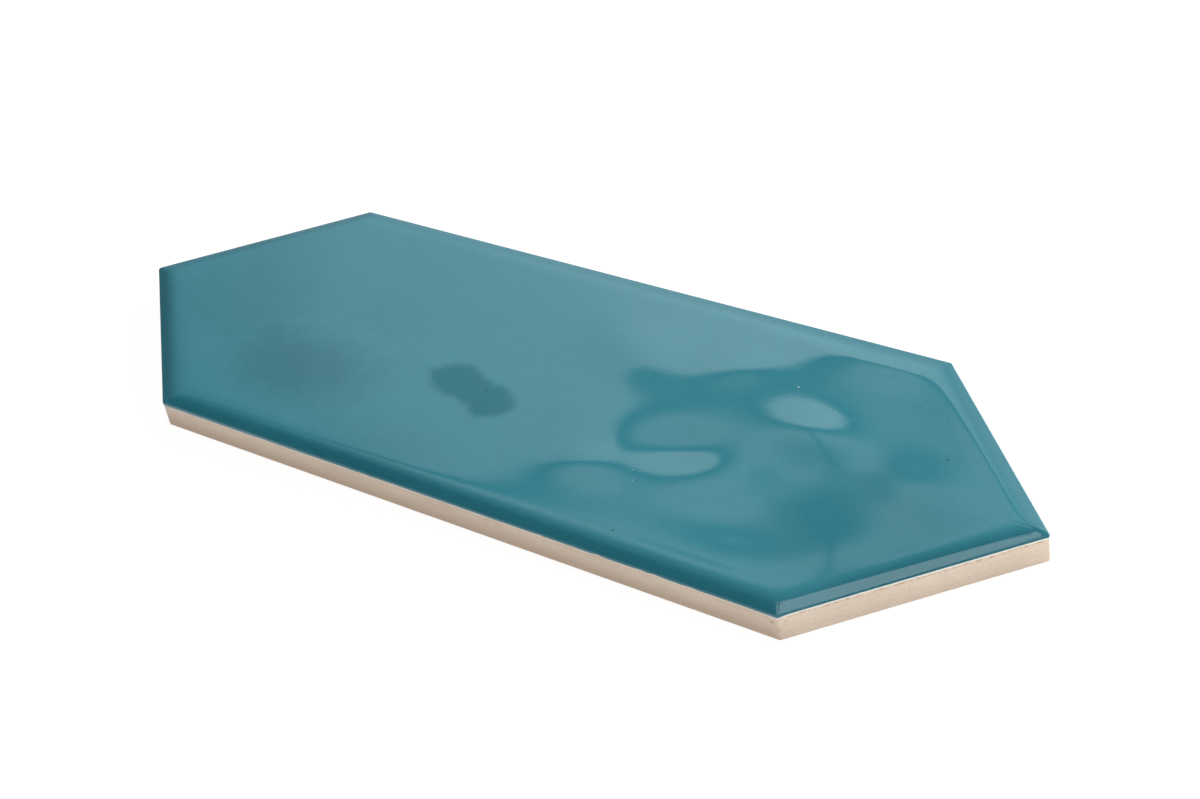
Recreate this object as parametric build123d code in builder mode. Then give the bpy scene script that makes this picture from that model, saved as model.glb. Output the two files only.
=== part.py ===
"""Picket tile: a long hexagon pressed from clay and fired, with a cushioned, gently undulating glazed face,
bare sides with a little draft, and a keyed back.

Millimetres. The origin is the centre of the back, +X runs from point to point and +Z out of the glazed face.
"""

from build123d import *
import os
from math import atan, atan2, cos, degrees, exp, radians, sin

# Outline of the back: length between the sharp points, width across the long sides, depth of each point.
length = 300.0
width = 102.0
point_depth = 48.5
corner_radius = 1.0

# Bare side, which leans in a little on its way up to the glaze's lip.
glaze_line = 8.0
side_lean = 0.30
lip_inset = 0.15

# Cushioned rim: a steep outer bevel, then a gentle inner one up to the face, and a rounded arris.
rim_level = 8.6
outer_bevel_width = 3.0
outer_bevel_slope = 0.26
inner_bevel_slope = 0.14
arris_radius = 0.5

# Face, and its undulation: centre x and y, reach along and across, turn in degrees, and rise of each swell.
face_level = 9.7
swells = [
    (86, -3, 35, 28, 25, -0.66),
    (81, 9, 14, 9, -8, 0.44),
    (66, -5, 9, 10, 0, 0.10),
    (75, -29, 20, 9, 0, -0.20),
    (81, 46, 20, 10, 0, 0.34),
    (18, 22, 16, 12, -30, 0.37),
    (47, 26, 14, 8, 25, 0.15),
    (50, -9, 15, 9, 15, -0.30),
    (29, -24, 11, 7, 0, 0.22),
    (106, -30, 9, 9, 0, 0.10),
    (114, 2, 12, 9, -25, 0.16),
    (-85, -20, 30, 26, 0, 0.25),
]
calm_border = 3.0
calm_fade = 6.5

# The inner bevel is carried up past the face, which then cuts it off.
crown_width = 9.0

# Keyed back: channels along the tile, inside a plain border.
back_border = 7.0
channel_width = 7.0
channel_pitch = 10.0
channel_depth = 0.6
channel_count = 9

# Sampling of the undulating face, which reaches a little past the outline.
overreach = 5.0
sample_step = 3.5

half_point_angle = atan2(width / 2, point_depth)


def picket(inset=0.0):
    """Corners of the outline moved in by inset, counter-clockwise from the point on +X."""
    half_width = width / 2 - inset
    tip = length / 2 - inset / sin(half_point_angle)
    shoulder = tip - half_width * cos(half_point_angle) / sin(half_point_angle)
    return [
        (tip, 0),
        (shoulder, half_width),
        (-shoulder, half_width),
        (-tip, 0),
        (-shoulder, -half_width),
        (shoulder, -half_width),
    ]


def rim_distance(x, y):
    """Distance in from the nearest side of the back's outline."""
    to_long_side = width / 2 - abs(y)
    to_point_side = (length / 2 - abs(x)) * sin(half_point_angle) - abs(y) * cos(half_point_angle)
    return min(to_long_side, to_point_side)


def face_height(x, y):
    """Height of the undulating face above the back, calm near the rim."""
    calm = min(1.0, max(0.0, (rim_distance(x, y) - calm_border) / calm_fade))
    calm = calm * calm * (3 - 2 * calm)
    undulation = 0.0
    for swell_x, swell_y, along, across, turn, rise in swells:
        u = (x - swell_x) * cos(radians(turn)) + (y - swell_y) * sin(radians(turn))
        v = (y - swell_y) * cos(radians(turn)) - (x - swell_x) * sin(radians(turn))
        undulation += rise * exp(-((u / along) ** 2) - (v / across) ** 2)
    return face_level + calm * undulation


def face_surface():
    """The undulating face as one smooth surface."""
    span_x, span_y = length + 2 * overreach, width + 2 * overreach
    columns, rows = round(span_x / sample_step), round(span_y / sample_step)
    points = []
    for i in range(columns + 1):
        x = (i / columns - 0.5) * span_x
        ys = [(j / rows - 0.5) * span_y for j in range(rows + 1)]
        points.append([Vector(x, y, face_height(x, y)) for y in ys])
    return Face.make_surface_from_array_of_points(points, tol=0.01, min_deg=3, max_deg=3)


# Glazed head: two bevels all round, with a rounded arris, cut to the undulating face.
bevel_level = rim_level + outer_bevel_width * outer_bevel_slope
crown_level = bevel_level + crown_width * inner_bevel_slope
with BuildPart() as head:
    with BuildSketch(Plane.XY.offset(rim_level)) as rim:
        with BuildLine():
            Polyline(*picket(lip_inset), close=True)
        make_face()
        fillet(rim.vertices(), corner_radius)
    with BuildSketch(Plane.XY.offset(bevel_level)) as bevel:
        with BuildLine():
            Polyline(*picket(lip_inset + outer_bevel_width), close=True)
        make_face()
        fillet(bevel.vertices(), 2 * corner_radius)
    with BuildSketch(Plane.XY.offset(crown_level)) as crown:
        with BuildLine():
            Polyline(*picket(lip_inset + outer_bevel_width + crown_width), close=True)
        make_face()
        fillet(crown.vertices(), 4 * corner_radius)
    loft(sections=[rim.sketch, bevel.sketch, crown.sketch], ruled=True)
    extrude(rim.sketch, amount=-(rim_level - glaze_line))
    arris = head.edges().filter_by_position(Axis.Z, rim_level - 0.01, rim_level + 0.01)
    fillet(arris, arris_radius)
    split(bisect_by=face_surface(), keep=Keep.BOTTOM)

# The whole tile: bare pressed body under the head, with its keyed back.
with BuildPart() as picket_tile:
    with BuildSketch() as back:
        with BuildLine():
            Polyline(*picket(), close=True)
        make_face()
        fillet(back.vertices(), corner_radius)
    extrude(amount=glaze_line, taper=degrees(atan(side_lean / glaze_line)))
    with BuildSketch():
        with GridLocations(0, channel_pitch, 1, channel_count):
            Rectangle(length, channel_width)
        with BuildLine():
            Polyline(*picket(back_border), close=True)
        make_face(mode=Mode.INTERSECT)
    extrude(amount=channel_depth, mode=Mode.SUBTRACT)
    add(head.part)

picket_tile.part.label = "picket_tile"

os.makedirs("parts", exist_ok=True)
export_step(picket_tile.part, "parts/picket_tile.step")

box = picket_tile.part.bounding_box()
print(f"size {box.size.X:.2f} x {box.size.Y:.2f} x {box.size.Z:.2f} mm")
print(f"volume {picket_tile.part.volume / 1000:.1f} cm3, valid {picket_tile.part.is_valid}")
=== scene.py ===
"""Picket tile: glazed head, slip line and bare clay body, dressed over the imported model, with its studio."""

from math import atan, atan2, cos, exp, pi, radians, sin, sqrt, tan

import bmesh
import bpy
from mathutils import Euler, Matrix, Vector, noise


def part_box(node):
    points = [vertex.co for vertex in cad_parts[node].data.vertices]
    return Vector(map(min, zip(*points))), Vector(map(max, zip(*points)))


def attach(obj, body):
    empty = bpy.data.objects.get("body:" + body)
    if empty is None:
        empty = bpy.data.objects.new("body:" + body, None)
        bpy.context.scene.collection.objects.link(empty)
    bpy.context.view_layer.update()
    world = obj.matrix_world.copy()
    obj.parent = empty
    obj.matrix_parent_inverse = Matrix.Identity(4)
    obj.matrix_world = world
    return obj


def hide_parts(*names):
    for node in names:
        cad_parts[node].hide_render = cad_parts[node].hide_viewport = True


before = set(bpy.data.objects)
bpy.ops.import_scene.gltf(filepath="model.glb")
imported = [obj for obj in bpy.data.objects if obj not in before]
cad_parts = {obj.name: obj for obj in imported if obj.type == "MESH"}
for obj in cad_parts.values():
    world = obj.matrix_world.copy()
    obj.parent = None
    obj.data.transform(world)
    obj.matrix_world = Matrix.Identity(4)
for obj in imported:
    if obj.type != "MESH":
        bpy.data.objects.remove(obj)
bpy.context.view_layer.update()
tile_low, tile_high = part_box("picket_tile")

bl_info = {
    "name": "Picket tile",
    "version": (1, 0, 0),
    "blender": (4, 5, 0),
    "location": "3D View > Sidebar > Tile",
    "description": "Builds the picket tile's glazed head, slip line and clay body, and its studio",
    "category": "Add Mesh",
}

MM = 0.001

# The undulation of the face, in millimetres: centre x and y, reach along and across, turn in degrees,
# and rise.
SWELLS = [
    (86, -3, 35, 28, 25, -0.66),
    (81, 9, 14, 9, -8, 0.44),
    (66, -5, 9, 10, 0, 0.10),
    (75, -29, 20, 9, 0, -0.20),
    (81, 46, 20, 10, 0, 0.34),
    (18, 22, 16, 12, -30, 0.37),
    (47, 26, 14, 8, 25, 0.15),
    (50, -9, 15, 9, 15, -0.30),
    (29, -24, 11, 7, 0, 0.22),
    (106, -30, 9, 9, 0, 0.10),
    (114, 2, 12, 9, -25, 0.16),
    (-85, -20, 30, 26, 0, 0.25),
]

# Finer ripples that only the glaze's surface has, written the same way.
RIPPLES = [
    (59, -14, 8, 8, 0, 0.05),
    (33, -13, 6, 6, 0, 0.03),
    (82, -16, 10, 10, 0, -0.07),
    (104, -24, 8, 8, 0, 0.04),
    (108, 2, 12, 10, -20, 0.04),
]

# Beads where the glaze has drawn together, in millimetres: x, y, reach, and rise.
BEADS = [(146.3, 0.7, 1.1, 0.16), (-147.0, -0.3, 1.3, 0.08)]

# The undulation fades out by the rim: plain border, then the fade, and how far it is eased at the corners.
CALM_BORDER = 3.0
CALM_FADE = 6.5
CALM_BLEND = 3.0

# Rounding of the crease between the two bevels, and of the one where they meet the face, in millimetres.
BEVEL_BLEND = 0.10
FACE_BLEND = 0.2

# Heights in millimetres at which the pools and the specks in the glaze are centred.
POOL_LEVEL = 9.7
SPECK_LEVEL = 9.6

# Where the glaze lies deeper, in millimetres: the lobes of the dark blob as x, y and reach along and across.
BLOB = [
    (-22.8, -9.2, 10.6, 7.2),
    (-9.4, -13.6, 8.8, 7.2),
    (-15.8, -11.4, 8.4, 6.2),
]

# Soft clouds in the glaze, written the same way, with how deep they are.
CLOUDS = [
    (-71, -22, 31, 18, 0.52),
    (-28, -42, 34, 13, 0.18),
    (-108, -2, 30, 22, 0.22),
    (-60, 8, 16, 12, 0.12),
    (-118, 22, 24, 12, 0.12),
    (112, -18, 38, 26, 0.26),
]

# Specks in the glaze, in millimetres: x, y, size, and how pale.
SPECKS = [
    (68, 25, 0.18, 0.45),
    (77, -15, 0.22, 0.6),
    (70, -23.5, 0.15, 0.45),
    (43, -21.5, 0.12, 0.3),
    (45, -25, 0.12, 0.3),
    (-12.6, -10, 0.25, 0.01),
    (116.5, 14, 0.30, 0.02),
    (50, -43, 0.25, 0.02),
]

# Orange-brown spots on the clay by the front right corner, in millimetres: x, y, z and size.
FLASHED_SPOTS = [
    (99.6, -51, 5.6, 0.9),
    (101.4, -50.6, 3.4, 0.7),
    (98.2, -51, 6.8, 0.6),
    (102.6, -49.2, 5.9, 0.5),
]

# Nicks and drips of the glaze's lower edge, in millimetres: x, y, reach along the edge, and rise.
EDGE_MARKS = [
    (-62, -51, 1.4, 0.15),
    (-24, -51, 1.2, -0.12),
    (32, -51, 0.9, 0.26),
    (50, -51, 1.2, 0.42),
    (62.5, -51, 0.8, 0.36),
    (67, -51, 1.2, 0.40),
    (77, -51, 1.2, 0.20),
    (101, -51, 1.3, -0.35),
    (149, 0, 1.2, -0.30),
    (-101, -51, 1.5, -0.15),
]

# The stretch of x, in millimetres, over which the front side gives way to the slanted one at the right.
RIGHT_START = 99
RIGHT_END = 105

# How the glaze's lower edge shifts along the tile, in millimetres, and how far the slip reaches below it at
# the right.
RIGHT_RISE = 0.26
REST_DROP = 0.34
LEFT_DROP = 0.30
SLIP_DROP = 0.3

# What the glaze reflects. Backdrop: its level by turn in degrees from +Y towards +X, and by rise.
BACKDROP_BY_TURN = (
    (-180, 1.0), (-128, 0.9), (-105, 0.3), (-90, 0.12), (-62, 0.2), (-54, 0.42), (-51, 0.55), (-47, 0.85),
    (-40, 1.05), (-36, 1.4), (-28, 1.8), (-20, 1.3), (-11, 0.8), (-5, 1.3), (0, 1.6), (60, 1.4), (90, 0.8),
    (180, 0.25),
)
BACKDROP_BY_RISE = ((-90, 0.5), (0, 0.6), (15, 0.5), (27, 0.8), (35, 1.0), (90, 1.0))

# The backdrop's upper edge: its rise in degrees straight behind the tile, and its fall per degree of turn.
BACKDROP_EDGE = 40.3
EDGE_TILT = 0.05

# The wall above the backdrop's edge: its level by degrees over that edge.
WALL_BY_HEIGHT = (
    (0.0, 0.02), (0.7, 0.38), (1.7, 0.92), (2.8, 0.95), (4.0, 0.72), (5.5, 0.55), (7, 0.3), (12, 0.1),
)
CURVE_TOP = 2.0
SOFTBOX_LEVEL = 2.6
WINDOW_LEVEL = 7.0

# Area lamps: name, place in metres, width and height in metres, and watts.
LAMPS = (
    ("back_window", (0.34, 1.32, 0.48), 1.0, 0.5, 32.8),
    ("right_fill", (0.92, -0.40, 0.16), 0.5, 0.25, 3.4),
    ("front_card", (0.15, -1.25, 0.30), 1.2, 0.3, 2.9),
)

# The camera, as fitted to the tile's outline: place in metres, angles in degrees, and lens in millimetres.
CAMERA_PLACE = (0.266203, -0.305491, 0.338044)
CAMERA_ANGLES = (49.5432, 8.2305, 32.0013)
CAMERA_LENS = 55.524


class TileSizes(bpy.types.PropertyGroup):
    """Sizes of the tile."""

    length: bpy.props.FloatProperty(
        name="Length", description="Between the sharp points", default=0.300, unit="LENGTH")
    width: bpy.props.FloatProperty(
        name="Width", description="Across the two long sides",
        default=round(tile_high.y - tile_low.y, 4), unit="LENGTH")
    point_depth: bpy.props.FloatProperty(
        name="Point depth", description="From the shoulders to the tip", default=0.0485, unit="LENGTH")
    corner_radius: bpy.props.FloatProperty(
        name="Corner radius", description="Rounding of the six corners in plan",
        default=0.001, unit="LENGTH")
    glaze_line: bpy.props.FloatProperty(
        name="Glaze line", description="Height of the bare clay side", default=0.008, unit="LENGTH")
    side_lean: bpy.props.FloatProperty(
        name="Side lean", description="How far the clay side leans in at the glaze line",
        default=0.0003, unit="LENGTH")
    lip_inset: bpy.props.FloatProperty(
        name="Lip inset", description="How far in the glaze's lip stands from the foot",
        default=0.00015, unit="LENGTH")
    rim_level: bpy.props.FloatProperty(
        name="Rim level", description="Height of the rim before its edge is rounded",
        default=0.0086, unit="LENGTH")
    outer_bevel_width: bpy.props.FloatProperty(
        name="Outer bevel width", description="Width of the steep bevel at the rim",
        default=0.003, unit="LENGTH")
    outer_bevel_slope: bpy.props.FloatProperty(
        name="Outer bevel slope", description="Rise over run of the steep bevel", default=0.26)
    inner_bevel_slope: bpy.props.FloatProperty(
        name="Inner bevel slope", description="Rise over run of the gentle bevel", default=0.14)
    arris_radius: bpy.props.FloatProperty(
        name="Arris radius", description="Rounding of the glazed edge", default=0.0005, unit="LENGTH")
    face_level: bpy.props.FloatProperty(
        name="Face level", description="Mean height of the face above the back",
        default=0.0097, unit="LENGTH")
    slip_height: bpy.props.FloatProperty(
        name="Slip height", description="Height of the pale slip line under the glaze",
        default=0.0004, unit="LENGTH")
    back_border: bpy.props.FloatProperty(
        name="Back border", description="Plain border round the keyed back", default=0.007, unit="LENGTH")
    channel_width: bpy.props.FloatProperty(
        name="Channel width", description="Width of each channel of the back", default=0.007, unit="LENGTH")
    channel_pitch: bpy.props.FloatProperty(
        name="Channel pitch", description="Spacing of the channels", default=0.010, unit="LENGTH")
    channel_depth: bpy.props.FloatProperty(
        name="Channel depth", description="Depth of the channels", default=0.0006, unit="LENGTH")
    channel_count: bpy.props.IntProperty(
        name="Channels", description="How many channels the back has", default=9, min=1)
    point_spacing: bpy.props.FloatProperty(
        name="Point spacing", description="Spacing of the mesh's points along the sides",
        default=0.001, unit="LENGTH")


class TileColours(bpy.types.PropertyGroup):
    """Colours of the tile."""

    glaze: bpy.props.FloatVectorProperty(
        name="Glaze", description="Body colour of the glaze", subtype="COLOR", size=4,
        default=(0.034, 0.186, 0.232, 1))
    # Also the colour of the painted shade at the glaze's rim.
    glaze_deep_and_rim_shade: bpy.props.FloatVectorProperty(
        name="Deep glaze", description="Where the glaze lies thick", subtype="COLOR", size=4,
        default=(0.014, 0.110, 0.146, 1))
    clay: bpy.props.FloatVectorProperty(
        name="Fired clay", description="Bare fired clay", subtype="COLOR", size=4,
        default=(0.67, 0.565, 0.465, 1))
    # Also the colour of the painted shade at the foot of the clay side.
    clay_dark_and_foot_shade: bpy.props.FloatVectorProperty(
        name="Clay shade", description="Darker grain of the clay", subtype="COLOR", size=4,
        default=(0.50, 0.39, 0.30, 1))
    clay_flash: bpy.props.FloatVectorProperty(
        name="Kiln flash", description="Orange-brown flashing under the slip", subtype="COLOR", size=4,
        default=(0.42, 0.26, 0.15, 1))
    slip: bpy.props.FloatVectorProperty(
        name="Slip", description="Pale slip under the glaze", subtype="COLOR", size=4,
        default=(0.70, 0.71, 0.66, 1))
    floor: bpy.props.FloatVectorProperty(
        name="Floor", description="Studio floor", subtype="COLOR", size=4, default=(0.88, 0.88, 0.88, 1))


def half_point_angle(sizes):
    """Half the angle of each point of the tile."""
    return atan2(sizes.width / 2, sizes.point_depth)


def picket(sizes, inset):
    """Corners of the outline moved in by inset, counter-clockwise from the point on +X."""
    turn = half_point_angle(sizes)
    half_width = sizes.width / 2 - inset
    tip = sizes.length / 2 - inset / sin(turn)
    shoulder = tip - half_width / tan(turn)
    return [(tip, 0), (shoulder, half_width), (-shoulder, half_width),
            (-tip, 0), (-shoulder, -half_width), (shoulder, -half_width)]


def outline_face(bm, sizes, inset, level):
    """One flat face in the tile's outline, with rounded corners and evenly spaced points along its sides."""
    turn = half_point_angle(sizes)
    verts = [bm.verts.new((x, y, level)) for x, y in picket(sizes, inset)]
    bm.faces.new(verts)
    tips, shoulders = [verts[0], verts[3]], [verts[i] for i in (1, 2, 4, 5)]
    reach = {True: sizes.corner_radius / tan(turn), False: sizes.corner_radius / tan((pi - turn) / 2)}
    for corners, is_tip in ((tips, True), (shoulders, False)):
        bmesh.ops.bevel(bm, geom=corners, offset=reach[is_tip], offset_type="OFFSET", segments=6, profile=0.5,
                        affect="VERTICES", material=-1)
    for edge in bm.edges[:]:
        length = edge.calc_length()
        if length > 3 * sizes.point_spacing:
            bmesh.ops.subdivide_edges(bm, edges=[edge], cuts=round(length / sizes.point_spacing) - 1)
    home = bm.verts.layers.float_vector.new("home")
    for vert in bm.verts:
        vert[home] = vert.co
    bm.faces.ensure_lookup_table()
    return bm.faces[0], home


def grow(bm, face, place):
    """Extrudes the face in place, then moves its new corners where place says, and returns the new face."""
    face = bmesh.ops.extrude_discrete_faces(bm, faces=[face])["faces"][0]
    for vert in face.verts:
        vert.co = place(vert)
    return face


def towards_spine(sizes, home, inset, home_inset=0.0):
    """A point of the outline, home_inset in from the foot, moved in by inset to the tile's middle line."""
    half_width = sizes.width / 2 - home_inset
    shoulder = picket(sizes, home_inset)[1][0]
    spine = sizes.length / 2 - sizes.width / 2 / sin(half_point_angle(sizes))
    target = min(1.0, max(-1.0, home.x / shoulder)) * spine
    share = inset / half_width
    return Vector((home.x + (target - home.x) * share, home.y * (1 - share)))


def finish_piece(bm, name, material):
    """Turns the bmesh into a closed, named piece of the tile, on its body and with its finish."""
    bmesh.ops.holes_fill(bm, edges=[edge for edge in bm.edges if edge.is_boundary], sides=0)
    bmesh.ops.recalc_face_normals(bm, faces=bm.faces[:])
    for face in bm.faces:
        face.smooth = True
    mesh = bpy.data.meshes.new(name)
    bm.to_mesh(mesh)
    bm.free()
    mesh.materials.append(material)
    piece = bpy.data.objects.new(name, mesh)
    bpy.context.scene.collection.objects.link(piece)
    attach(piece, "root")
    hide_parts("picket_tile")
    return piece


def lower_of(a, b, blend):
    """The lower of two levels, with the crease between them rounded."""
    return (a + b - sqrt((a - b) ** 2 + blend * blend)) / 2


def side_distances(sizes, x, y):
    """Distances in from the nearest sides of the foot's outline, nearest first."""
    turn = half_point_angle(sizes)
    run = (sizes.length / 2 - abs(x)) * sin(turn)
    return sorted((sizes.width / 2 - abs(y), run - abs(y) * cos(turn), run + abs(y) * cos(turn)))


def undulation(x, y):
    """Rise of the face at a point, all in millimetres."""
    total = 0.0
    for swell_x, swell_y, along, across, turn, rise in SWELLS + RIPPLES:
        u = (x - swell_x) * cos(radians(turn)) + (y - swell_y) * sin(radians(turn))
        v = (y - swell_y) * cos(radians(turn)) - (x - swell_x) * sin(radians(turn))
        total += rise * exp(-((u / along) ** 2) - (v / across) ** 2)
    return total


def head_level(sizes, x, y, inset):
    """Height of the glazed head: two bevels up from the rim, cut to the undulating face."""
    nearest, second, _ = side_distances(sizes, x, y)
    corner_blend = 0.3 * inset
    gap = second - nearest
    inset = inset - (sqrt(gap * gap + corner_blend ** 2) - gap) / 2
    lower = sizes.rim_level + sizes.outer_bevel_slope * inset
    upper = (sizes.rim_level + sizes.outer_bevel_slope * sizes.outer_bevel_width
             + sizes.inner_bevel_slope * (inset - sizes.outer_bevel_width))
    roof = lower_of(lower, upper, BEVEL_BLEND * MM)
    calm_blend = CALM_BLEND * MM
    calm_inset = nearest - (sqrt(gap * gap + calm_blend ** 2) - gap) / 2
    calm = min(1.0, max(0.0, (calm_inset / MM - CALM_BORDER) / CALM_FADE))
    calm = calm * calm * (3 - 2 * calm)
    face = sizes.face_level + calm * undulation(x / MM, y / MM) * MM
    level = lower_of(face, roof, FACE_BLEND * MM)
    for bead_x, bead_y, reach, rise in BEADS:
        level += rise * MM * exp(-(((x / MM - bead_x) ** 2 + (y / MM - bead_y) ** 2) / reach ** 2))
    return level


def right_share(x):
    """0 along the front side, 1 along the slanted side at the right."""
    return min(1.0, max(0.0, (x / MM - RIGHT_START) / (RIGHT_END - RIGHT_START)))


def edge_wave(home):
    """How far the glaze's lower edge wanders up or down along the side."""
    wave = 0.07 * noise.noise(home * 160) + 0.05 * noise.noise(home * 450 + Vector((7, 3, 1)))
    to_right = right_share(home.x)
    to_left = min(1.0, max(0.0, (-home.x / MM - 20) / 60))
    wave += RIGHT_RISE * to_right - REST_DROP * (1 - to_right) - LEFT_DROP * to_left
    for x, y, reach, rise in EDGE_MARKS:
        away = (home - Vector((x, y, home.z / MM)) * MM).length / (reach * MM)
        wave += rise * exp(-away * away)
    return wave * MM


class Shading:
    """A few short ways to add nodes to one node tree."""

    def __init__(self, tree):
        self.tree = tree
        tree.nodes.clear()

    def node(self, kind, settings=None, **inputs):
        made = self.tree.nodes.new(kind)
        for key, value in (settings or {}).items():
            setattr(made, key, value)
        for key, value in inputs.items():
            self.put(made.inputs[key.replace("_", " ")], value)
        return made

    def put(self, socket, value):
        if isinstance(value, bpy.types.NodeSocket):
            self.tree.links.new(value, socket)
        elif value is not None:
            socket.default_value = value

    def math(self, operation, a, b=None, c=None):
        made = self.node("ShaderNodeMath", {"operation": operation})
        for socket, value in zip(made.inputs, (a, b, c)):
            self.put(socket, value)
        return made.outputs[0]

    def vector(self, operation, a, b=None):
        made = self.node("ShaderNodeVectorMath", {"operation": operation})
        self.put(made.inputs[0], a)
        if b is not None:
            self.put(made.inputs[1], b)
        return made.outputs["Value"] if operation in ("LENGTH", "DISTANCE") else made.outputs[0]

    def step(self, value, low, high):
        """0 below low, 1 above high and smooth between; low may be above high."""
        made = self.node("ShaderNodeMapRange", {"interpolation_type": "SMOOTHSTEP"}, Value=value)
        if low <= high:
            spans = (low, high, 0.0, 1.0)
        else:
            spans = (high, low, 1.0, 0.0)
        for name, number in zip(("From Min", "From Max", "To Min", "To Max"), spans):
            made.inputs[name].default_value = number
        return made.outputs["Result"]

    def curve(self, value, stops, top=1.0):
        """A level read off straight runs between stops of (value, level)."""
        first, last = stops[0][0], stops[-1][0]
        share = self.node("ShaderNodeMapRange", None, Value=value)
        for name, number in zip(("From Min", "From Max", "To Min", "To Max"), (first, last, 0.0, 1.0)):
            share.inputs[name].default_value = number
        ramp = self.node("ShaderNodeValToRGB", None, Fac=share.outputs["Result"])
        elements = ramp.color_ramp.elements
        for i, (at, level) in enumerate(stops):
            ends = {0: 0, len(stops) - 1: -1}
            element = elements[ends[i]] if i in ends else elements.new((at - first) / (last - first))
            element.color = (level / top, level / top, level / top, 1)
        return self.math("MULTIPLY", ramp.outputs["Color"], top)

    def mix(self, share, a, b):
        made = self.node("ShaderNodeMix", {"data_type": "RGBA"})
        self.put(made.inputs[0], share)
        self.put(made.inputs[6], a)
        self.put(made.inputs[7], b)
        return made.outputs[2]

    def noise(self, place, scale, detail, roughness):
        made = self.node("ShaderNodeTexNoise", None, Vector=place, Scale=scale, Detail=detail,
                         Roughness=roughness)
        return made.outputs["Fac"]

    def xyz(self, place):
        """The three parts of a vector."""
        return self.node("ShaderNodeSeparateXYZ", None, Vector=place).outputs

    def object_place(self):
        """Object coordinates of the shaded point."""
        return self.node("ShaderNodeTexCoord").outputs["Object"]

    def stretched(self, place, stretch):
        made = self.node("ShaderNodeMapping", {"vector_type": "TEXTURE"}, Vector=place)
        made.inputs["Scale"].default_value = stretch
        return made.outputs["Vector"]


def new_material(name):
    """An empty node material and its helper."""
    material = bpy.data.materials.new(name)
    material.use_nodes = True
    return material, Shading(material.node_tree)


def rim_distance(make, sizes, place):
    """Distance in from the nearest side of the tile, worked out in a node tree."""
    turn = half_point_angle(sizes)
    x, y = (make.math("ABSOLUTE", make.xyz(place)[i]) for i in (0, 1))
    long_side = make.math("SUBTRACT", sizes.width / 2, y)
    slant = make.math("MULTIPLY", make.math("SUBTRACT", sizes.length / 2, x), sin(turn))
    point_side = make.math("SUBTRACT", slant, make.math("MULTIPLY", y, cos(turn)))
    return make.math("SMOOTH_MIN", long_side, point_side, 1.5 * MM)


def pool_share(make, place, x, y, along, across):
    """How far out a place is from the middle of an oval, where 1 is its border."""
    away = make.vector("SUBTRACT", place, (x * MM, y * MM, POOL_LEVEL * MM))
    return make.vector("LENGTH", make.vector("DIVIDE", away, (along * MM, across * MM, 1.0)))


def lobe_share(make, place, x, y, along, across):
    """The same for a lobe with straighter sides, half way from an oval to a diamond."""
    away = make.vector("SUBTRACT", place, (x * MM, y * MM, POOL_LEVEL * MM))
    away = make.vector("ABSOLUTE", make.vector("DIVIDE", away, (along * MM, across * MM, 1.0)))
    power = 1.35
    powers = [make.math("POWER", make.xyz(away)[i], power) for i in (0, 1)]
    return make.math("POWER", make.math("ADD", *powers), 1 / power)


def sea_glaze(sizes, colours):
    """Glossy blue-green glaze, deeper where it pools and at the rim, where painted shade darkens it too; faint
    orange peel and specks.
    """
    material, make = new_material("sea glaze")
    place = make.object_place()
    cloud = make.step(make.noise(place, 28, 3, 0.55), 0.35, 0.75)
    mottle = make.step(make.noise(place, 260, 3, 0.6), 0.3, 0.7)
    speckle = make.step(make.noise(place, 1500, 2, 0.7), 0.35, 0.65)
    depth_and_rim_shade = make.math("ADD", make.math("MULTIPLY", cloud, 0.08), make.math("MULTIPLY", mottle, 0.06))
    depth_and_rim_shade = make.math("ADD", depth_and_rim_shade, make.math("MULTIPLY", speckle, 0.14))
    # Darker towards the rim on every side: partly deeper glaze, partly painted shade for the rim tilting away
    # from the light.
    rim = make.step(rim_distance(make, sizes, place), 6.2 * MM, 2.0 * MM)
    depth_and_rim_shade = make.math("ADD", depth_and_rim_shade, make.math("MULTIPLY", rim, 0.60))
    wander = make.math("MULTIPLY", make.math("SUBTRACT", make.noise(place, 120, 3, 0.6), 0.5), 0.7)
    for x, y, along, across, depth in CLOUDS:
        away = make.math("ADD", pool_share(make, place, x, y, along, across), wander)
        depth_and_rim_shade = make.math("ADD", depth_and_rim_shade, make.math("MULTIPLY", make.step(away, 1.2, 0.3), depth))
    lobes = [lobe_share(make, place, *lobe) for lobe in BLOB]
    nearest = make.math("MINIMUM", make.math("MINIMUM", lobes[0], lobes[1]), lobes[2])
    away = make.math("ADD", nearest, make.math("MULTIPLY", wander, 0.8))
    blob = make.step(away, 1.25, 0.70)
    depth_and_rim_shade = make.math("ADD", depth_and_rim_shade, make.math("MULTIPLY", blob, 0.62))
    colour = make.mix(make.math("MINIMUM", depth_and_rim_shade, 1.0), tuple(colours.glaze), tuple(colours.glaze_deep_and_rim_shade))
    for x, y, size, tone in SPECKS:
        away = make.vector("DISTANCE", place, (x * MM, y * MM, SPECK_LEVEL * MM))
        speck = make.step(away, (size + 0.2) * MM, 0.5 * size * MM)
        colour = make.mix(speck, colour, (tone, tone * 1.1, tone * 1.1, 1))
    peel = make.noise(place, 700, 2, 0.6)
    bump = make.node("ShaderNodeBump", None, Strength=0.03, Distance=0.0001, Height=peel)
    shader = make.node("ShaderNodeBsdfPrincipled", None, Roughness=0.03, IOR=1.55)
    make.put(shader.inputs["Base Color"], colour)
    dull = make.math("MULTIPLY", blob, 0.28)
    make.put(shader.inputs["Specular IOR Level"], make.math("SUBTRACT", 0.5, dull))
    shader.inputs["Specular Tint"].default_value = (0.86, 1.0, 1.0, 1)
    make.put(shader.inputs["Normal"], bump.outputs["Normal"])
    make.node("ShaderNodeOutputMaterial", None, Surface=shader.outputs["BSDF"])
    return material


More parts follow.
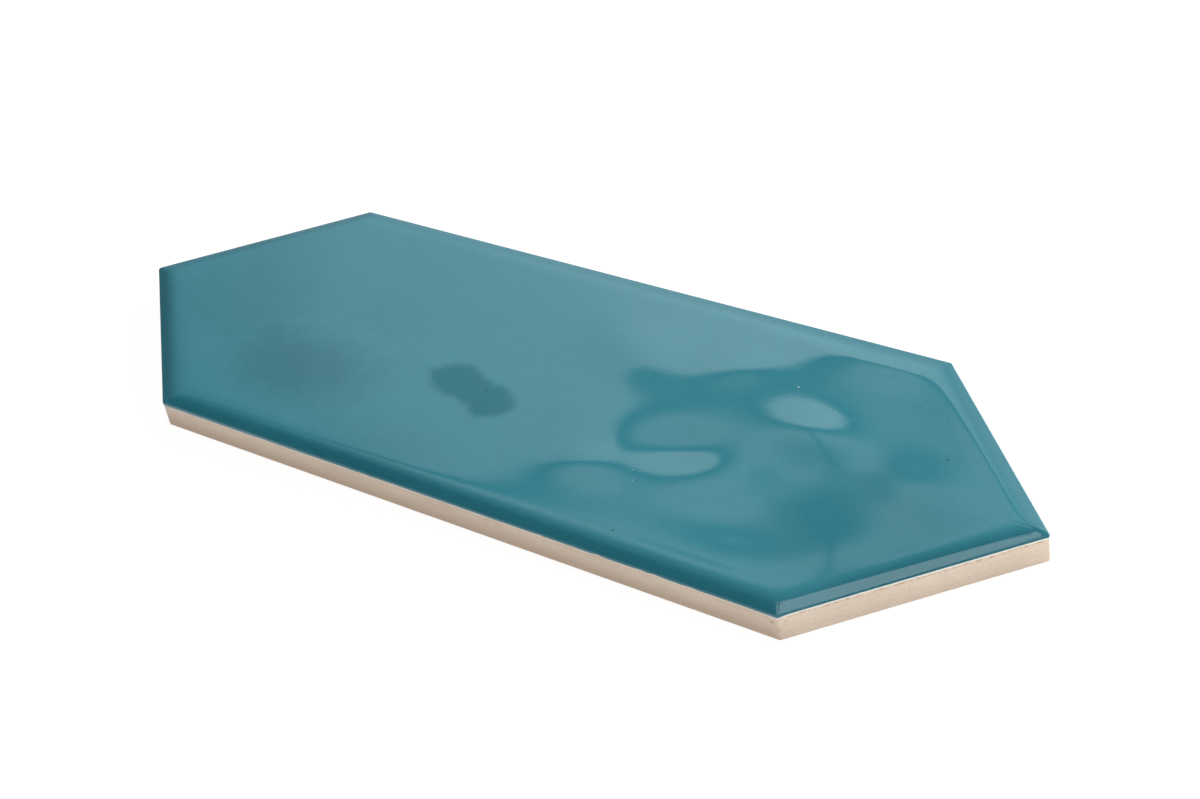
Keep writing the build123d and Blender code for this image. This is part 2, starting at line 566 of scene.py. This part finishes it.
def bare_clay(colours):
    """Fired clay, pale and dry, with fine grain, pressing streaks, pits, a flashed line under the slip and
    painted shade towards the foot.
    """
    material, make = new_material("bare fired clay")
    place = make.object_place()
    grain = make.noise(place, 2200, 4, 0.7)
    streak = make.noise(make.stretched(place, (7, 7, 1)), 900, 4, 0.65)
    patch = make.noise(place, 60, 3, 0.5)
    shade = make.math("ADD", make.math("MULTIPLY", grain, 0.52), make.math("MULTIPLY", streak, 0.26))
    shade = make.math("ADD", shade, make.math("MULTIPLY", patch, 0.22))
    colour = make.mix(make.step(shade, 0.36, 0.74), tuple(colours.clay), tuple(colours.clay_dark_and_foot_shade))
    pits = make.step(make.noise(place, 1100, 2, 0.5), 0.70, 0.76)
    colour = make.mix(make.math("MULTIPLY", pits, 0.6), colour, tuple(colours.clay_flash))
    for x, y, z, size in FLASHED_SPOTS:
        away = make.vector("DISTANCE", place, (x * MM, y * MM, z * MM))
        away = make.math("MULTIPLY_ADD", make.math("SUBTRACT", grain, 0.5), 2.0 * MM, away)
        spot = make.math("MULTIPLY", make.step(away, size * MM, 0.4 * size * MM), 0.6)
        colour = make.mix(spot, colour, tuple(colours.clay_flash))
    east, _, height = make.xyz(place)
    to_right = make.step(east, RIGHT_START * MM, RIGHT_END * MM)
    line = make.math("MULTIPLY", make.step(height, 6.7 * MM, 7.2 * MM), make.step(height, 8.2 * MM, 7.7 * MM))
    dots = make.step(make.noise(place, 850, 2, 0.5), 0.44, 0.60)
    strength = make.math("MULTIPLY_ADD", to_right, 0.5, 0.12)
    line = make.math("MULTIPLY", make.math("MULTIPLY", line, dots), strength)
    colour = make.mix(line, colour, tuple(colours.clay_flash))
    # Painted shade: the clay darkens towards the foot, less on the slanted side at the right, standing in for
    # less light near the floor.
    strength = make.math("MULTIPLY_ADD", to_right, -0.75, 1.1)
    foot = make.math("MULTIPLY", make.step(height, 6.5 * MM, 0.0), strength)
    colour = make.mix(foot, colour, tuple(colours.clay_dark_and_foot_shade))
    relief = make.math("ADD", make.math("MULTIPLY", grain, 0.6), make.math("MULTIPLY", streak, 0.5))
    bump = make.node("ShaderNodeBump", None, Strength=0.5, Distance=0.0002, Height=relief)
    shader = make.node("ShaderNodeBsdfPrincipled", None, Roughness=0.9, IOR=1.45)
    make.put(shader.inputs["Base Color"], colour)
    make.put(shader.inputs["Normal"], bump.outputs["Normal"])
    make.node("ShaderNodeOutputMaterial", None, Surface=shader.outputs["BSDF"])
    return material


def pale_slip(colours):
    """Thin pale slip between the clay and the glaze."""
    material, make = new_material("pale slip")
    place = make.object_place()
    mottle = make.step(make.noise(place, 500, 3, 0.6), 0.35, 0.7)
    thin = make.math("MULTIPLY", make.step(make.xyz(place)[0], RIGHT_END * MM, RIGHT_START * MM), 0.65)
    share = make.math("MAXIMUM", make.math("MULTIPLY", mottle, 0.3), thin)
    colour = make.mix(share, tuple(colours.slip), tuple(colours.clay))
    relief = make.noise(place, 1800, 3, 0.6)
    bump = make.node("ShaderNodeBump", None, Strength=0.3, Distance=0.0001, Height=relief)
    shader = make.node("ShaderNodeBsdfPrincipled", None, Roughness=0.55, IOR=1.5)
    make.put(shader.inputs["Base Color"], colour)
    make.put(shader.inputs["Normal"], bump.outputs["Normal"])
    make.node("ShaderNodeOutputMaterial", None, Surface=shader.outputs["BSDF"])
    return material


def floor_paint(colours):
    """White studio floor that keeps a soft shadow, and that glows in reflections, more brightly behind the
    tile.
    """
    material, make = new_material("studio floor")
    matt = make.node("ShaderNodeBsdfDiffuse", None, Color=tuple(colours.floor))
    lift = make.node("ShaderNodeEmission", None, Color=(1, 1, 1, 1), Strength=0.88)
    dim = make.node("ShaderNodeBsdfDiffuse", None, Color=(0.2, 0.2, 0.2, 1))
    shown = make.node("ShaderNodeAddShader")
    make.put(shown.inputs[0], lift.outputs[0])
    make.put(shown.inputs[1], dim.outputs[0])
    ray = make.node("ShaderNodeLightPath")
    north = make.xyz(make.object_place())[1]
    # Painted reflection: to glossy rays the floor glows, brighter behind the tile than in front.
    floor_glow_in_reflections = make.node("ShaderNodeEmission", None, Color=(1, 1, 1, 1))
    make.put(floor_glow_in_reflections.inputs["Strength"], make.math("MULTIPLY_ADD", make.step(north, -0.1, 0.3), 2.0, 1.1))
    mirrored = make.node("ShaderNodeMixShader", None, Fac=ray.outputs["Is Glossy Ray"])
    make.put(mirrored.inputs[1], matt.outputs[0])
    make.put(mirrored.inputs[2], floor_glow_in_reflections.outputs[0])
    choose = make.node("ShaderNodeMixShader", None, Fac=ray.outputs["Is Camera Ray"])
    make.put(choose.inputs[1], mirrored.outputs[0])
    make.put(choose.inputs[2], shown.outputs[0])
    make.node("ShaderNodeOutputMaterial", None, Surface=choose.outputs[0])
    return material


def between(make, value, low_start, low_end, high_start, high_end):
    """1 between two soft borders and 0 outside them."""
    return make.math("MULTIPLY", make.step(value, low_start, low_end), make.step(value, high_end, high_start))


def studio_world():
    """Studio that the glaze reflects: a lit backdrop with a tilted edge, a wall, a window and a softbox."""
    world = bpy.data.worlds.new("studio")
    world.use_nodes = True
    make = Shading(world.node_tree)
    east, north, up = make.xyz(make.node("ShaderNodeTexCoord").outputs["Generated"])
    turn = make.math("MULTIPLY", make.math("ARCTAN2", east, north), 180 / pi)
    rise = make.math("MULTIPLY", make.math("ARCSINE", up), 180 / pi)
    edge = make.math("SUBTRACT", BACKDROP_EDGE, make.math("MULTIPLY", turn, EDGE_TILT))
    over = make.math("SUBTRACT", rise, edge)

    backdrop = make.curve(turn, BACKDROP_BY_TURN, CURVE_TOP)
    backdrop = make.math("MULTIPLY", backdrop, make.curve(rise, BACKDROP_BY_RISE))
    wall = make.math("MULTIPLY", make.curve(over, WALL_BY_HEIGHT, CURVE_TOP), make.step(turn, -68, -46))
    seam = make.math("DIVIDE", make.math("ADD", turn, 31.0), 0.7)
    seam = make.math("EXPONENT", make.math("MULTIPLY", make.math("MULTIPLY", seam, seam), -1.0))
    wall = make.math("MULTIPLY", wall, make.math("SUBTRACT", 1.0, make.math("MULTIPLY", seam, 0.6)))
    level = make.node("ShaderNodeMix", {"data_type": "FLOAT"}, Factor=make.step(over, -1.1, -0.1))
    make.put(level.inputs[2], backdrop)
    make.put(level.inputs[3], wall)

    flat = make.math("MAXIMUM", up, 0.05)
    across = make.math("DIVIDE", east, flat)
    along = make.math("DIVIDE", north, flat)
    softbox = make.math("MULTIPLY", between(make, across, -0.38, -0.18, 0.20, 0.30),
                        between(make, along, -0.35, -0.15, 0.41, 0.46))
    window = make.math("MULTIPLY", between(make, turn, -6, -2, 35, 45), between(make, rise, -1, 1, 19, 23))
    studio = make.math("MAXIMUM", level.outputs[0], make.math("MULTIPLY", softbox, SOFTBOX_LEVEL))
    studio = make.math("MAXIMUM", studio, make.math("MULTIPLY", window, WINDOW_LEVEL))

    by_camera = make.node("ShaderNodeLightPath").outputs["Is Camera Ray"]
    seen = make.node("ShaderNodeMix", {"data_type": "FLOAT"}, Factor=by_camera)
    make.put(seen.inputs[2], studio)
    seen.inputs[3].default_value = 1.0
    light = make.node("ShaderNodeBackground", None, Color=(1, 1, 1, 1), Strength=seen.outputs[0])
    make.node("ShaderNodeOutputWorld", None, Surface=light.outputs[0])
    return world


def ring_step(at):
    """Width of the head's next ring, both in millimetres: fine by the arris and at the bevels' crease."""
    if at < 1 or 2.3 < at < 3.9:
        return 0.2
    if at < 9.5:
        return 0.3
    return 0.5 if at < 14 else 1.0


class TILE_OT_glazed_head(bpy.types.Operator):
    """Build the glazed head: lip, rounded arris, two bevels and the undulating face"""

    bl_idname = "tile.glazed_head"
    bl_label = "Glazed head"

    def execute(self, context):
        sizes, colours = context.scene.tile_sizes, context.scene.tile_colours
        bm = bmesh.new()
        cap, home = outline_face(bm, sizes, sizes.lip_inset, sizes.glaze_line)
        for vert in cap.verts:
            inner = towards_spine(sizes, vert[home], 0.35 * MM, sizes.lip_inset)
            vert.co = (inner.x, inner.y, sizes.glaze_line)

        # Centre of the arris, which is tangent to the lip's wall and to the steep bevel.
        bevel_angle = atan(sizes.outer_bevel_slope)
        radius = sizes.arris_radius
        centre_level = sizes.rim_level + sizes.outer_bevel_slope * radius - radius / cos(bevel_angle)

        def ring(inset, level_of):
            def place(vert):
                spot = towards_spine(sizes, vert[home], inset, sizes.lip_inset)
                return (spot.x, spot.y, level_of(spot, vert[home]))
            return place

        for inset, share in ((0.12, 0.0), (0.04, 0.12), (0.0, 0.45)):
            def lip(spot, start, share=share):
                edge = sizes.glaze_line + edge_wave(start)
                return edge + (centre_level - edge) * share
            cap = grow(bm, cap, ring(inset * MM, lip))
        arris_steps = 6
        for i in range(arris_steps + 1):
            angle = (pi / 2 - bevel_angle) * i / arris_steps
            inset, level = radius * (1 - cos(angle)), centre_level + radius * sin(angle)
            cap = grow(bm, cap, ring(inset, lambda spot, start, level=level: level))
        inset, half_width = radius * (1 - cos(pi / 2 - bevel_angle)), sizes.width / 2 - sizes.lip_inset
        while inset < half_width:
            at = inset / MM
            inset = min(inset + ring_step(at) * MM, half_width)

            def face(spot, start, inset=inset):
                return head_level(sizes, spot.x, spot.y, inset)
            cap = grow(bm, cap, ring(inset, face))
        bm.faces.remove(cap)
        bmesh.ops.remove_doubles(bm, verts=bm.verts[:], dist=0.02 * MM)
        finish_piece(bm, "glazed_head", sea_glaze(sizes, colours))
        return {"FINISHED"}


class TILE_OT_slip_line(bpy.types.Operator):
    """Build the pale slip coat that shows as a thin line under the glaze"""

    bl_idname = "tile.slip_line"
    bl_label = "Slip line"

    def execute(self, context):
        sizes, colours = context.scene.tile_sizes, context.scene.tile_colours
        bm = bmesh.new()
        low = sizes.glaze_line - sizes.slip_height
        cap, home = outline_face(bm, sizes, 0, low)
        # Inset and rise in millimetres, and how much each loop wanders.
        profile = (
            (0.60, 0.05, 1.0),
            (0.28, 0.0, 1.0),
            (0.25, 0.08, 0.8),
            (0.25, 0.40, 0.0),
            (0.60, 0.45, 0.0),
        )
        for i, (inset, rise, wander) in enumerate(profile):
            def place(vert, inset=inset, rise=rise, wander=wander):
                start = vert[home]
                spot = towards_spine(sizes, start, inset * MM)
                wave = 0.09 * noise.noise(start * 330) + 0.05 * noise.noise(start * 900)
                wave -= SLIP_DROP * right_share(start.x)
                return (spot.x, spot.y, low + (rise + wander * wave) * MM + edge_wave(start))
            if i:
                cap = grow(bm, cap, place)
            else:
                for vert in cap.verts:
                    vert.co = place(vert)
        finish_piece(bm, "slip_line", pale_slip(colours))
        return {"FINISHED"}


def flat_back(bm):
    """The flat faces of the back, and the same with their edges and corners."""
    faces = [f for f in bm.faces if all(abs(v.co.z) < 1e-7 for v in f.verts)]
    edges = dict.fromkeys(e for f in faces for e in f.edges)
    verts = dict.fromkeys(v for f in faces for v in f.verts)
    return faces, [*faces, *edges, *verts]


def foot_loop(bm):
    """The lowest loop of the side, in order."""
    start = next(v for v in bm.verts if abs(v.co.z) < 1e-7)
    loop, previous = [start], None
    while True:
        beside = [e.other_vert(loop[-1]) for e in loop[-1].link_edges]
        step = next(v for v in beside if abs(v.co.z) < 1e-7 and v is not previous)
        if step is start:
            return loop
        previous = loop[-1]
        loop.append(step)


def key_back(bm, sizes):
    """Cuts the flat back along the edges of its channels, then pushes the channels in."""
    corners = picket(sizes, sizes.back_border)
    border = []
    for a, b in zip(corners, corners[1:] + corners[:1]):
        border.append((Vector((*a, 0)), Vector((b[1] - a[1], a[0] - b[0], 0)).normalized()))
    half = (sizes.channel_count - 1) / 2
    walls = []
    for i in range(sizes.channel_count):
        middle = (i - half) * sizes.channel_pitch
        for side in (-1, 1):
            walls.append((Vector((0, middle + side * sizes.channel_width / 2, 0)), Vector((0, 1, 0))))
    for spot, normal in border + walls:
        bmesh.ops.bisect_plane(bm, geom=flat_back(bm)[1], dist=1e-6, plane_co=spot, plane_no=normal)
    channels = []
    for face in flat_back(bm)[0]:
        middle = face.calc_center_median()
        inside = all((middle - spot).dot(normal) < 0 for spot, normal in border)
        row = middle.y / sizes.channel_pitch + half
        if inside and abs(row - round(row)) * sizes.channel_pitch < sizes.channel_width / 2:
            channels.append(face)
    for face in channels:
        grow(bm, face, lambda vert: (vert.co.x, vert.co.y, sizes.channel_depth))


class TILE_OT_clay_body(bpy.types.Operator):
    """Build the bare clay body with its keyed back"""

    bl_idname = "tile.clay_body"
    bl_label = "Clay body"

    def execute(self, context):
        sizes, colours = context.scene.tile_sizes, context.scene.tile_colours
        bm = bmesh.new()
        back, home = outline_face(bm, sizes, 0, 0)
        levels = [0.0, 0.08, 0.2] + [0.5 * i for i in range(1, 16)] + [7.9]
        cap = back
        for level in levels:
            def place(vert, level=level):
                start = vert[home]
                edge = 0.12 * exp(-((level / 0.12) ** 2))
                rough = 0.03 * noise.noise(Vector((start.x * 300, start.y * 300, level * 0.9)))
                inset = sizes.side_lean * level * MM / sizes.glaze_line + (edge + max(0.0, rough)) * MM
                spot = towards_spine(sizes, start, inset)
                return (spot.x, spot.y, level * MM)
            if level:
                cap = grow(bm, cap, place)
            else:
                for vert in cap.verts:
                    vert.co = place(vert)
        if not flat_back(bm)[0]:
            bm.faces.new(list(reversed(foot_loop(bm))))
        key_back(bm, sizes)
        finish_piece(bm, "clay_body", bare_clay(colours))
        return {"FINISHED"}


class TILE_OT_studio(bpy.types.Operator):
    """Set up the floor, the light and the camera"""

    bl_idname = "tile.studio"
    bl_label = "Studio"

    def execute(self, context):
        scene, colours = context.scene, context.scene.tile_colours
        bm = bmesh.new()
        bmesh.ops.create_grid(bm, x_segments=1, y_segments=1, size=4.0)
        mesh = bpy.data.meshes.new("studio_floor")
        bm.to_mesh(mesh)
        bm.free()
        mesh.materials.append(floor_paint(colours))
        floor = bpy.data.objects.new("studio_floor", mesh)
        floor.location.z = tile_low.z - 0.02 * MM
        scene.collection.objects.link(floor)

        scene.world = studio_world()
        for name, place, wide, tall, power in LAMPS:
            lamp = bpy.data.lights.new(name, "AREA")
            lamp.shape, lamp.size, lamp.size_y, lamp.energy = "RECTANGLE", wide, tall, power
            item = bpy.data.objects.new(name, lamp)
            item.location = place
            item.rotation_euler = (-Vector(place)).to_track_quat("-Z", "Y").to_euler()
            item.visible_glossy = False
            scene.collection.objects.link(item)

        lens = bpy.data.cameras.new("camera")
        lens.lens, lens.sensor_width = CAMERA_LENS, 36.0
        camera = bpy.data.objects.new("camera", lens)
        camera.location = CAMERA_PLACE
        camera.rotation_euler = Euler([radians(a) for a in CAMERA_ANGLES], "XYZ")
        scene.collection.objects.link(camera)
        scene.camera = camera
        scene.view_settings.view_transform = "Standard"
        return {"FINISHED"}


class TILE_PT_panel(bpy.types.Panel):
    """The tile's sizes, colours and steps"""

    bl_label = "Picket tile"
    bl_idname = "TILE_PT_panel"
    bl_space_type = "VIEW_3D"
    bl_region_type = "UI"
    bl_category = "Tile"

    def draw(self, context):
        for step in STEPS:
            self.layout.operator(step.bl_idname)
        for group in (context.scene.tile_sizes, context.scene.tile_colours):
            box = self.layout.box()
            for name in group.bl_rna.properties.keys():
                if name not in ("rna_type", "name"):
                    box.prop(group, name)


STEPS = (TILE_OT_glazed_head, TILE_OT_slip_line, TILE_OT_clay_body, TILE_OT_studio)
CLASSES = (TileSizes, TileColours) + STEPS + (TILE_PT_panel,)


def register():
    for item in CLASSES:
        bpy.utils.register_class(item)
    bpy.types.Scene.tile_sizes = bpy.props.PointerProperty(type=TileSizes)
    bpy.types.Scene.tile_colours = bpy.props.PointerProperty(type=TileColours)


def unregister():
    del bpy.types.Scene.tile_colours
    del bpy.types.Scene.tile_sizes
    for item in reversed(CLASSES):
        bpy.utils.unregister_class(item)


def main():
    register()
    bpy.ops.tile.glazed_head()
    bpy.ops.tile.slip_line()
    bpy.ops.tile.clay_body()
    bpy.ops.tile.studio()


if __name__ == "__main__":
    main()
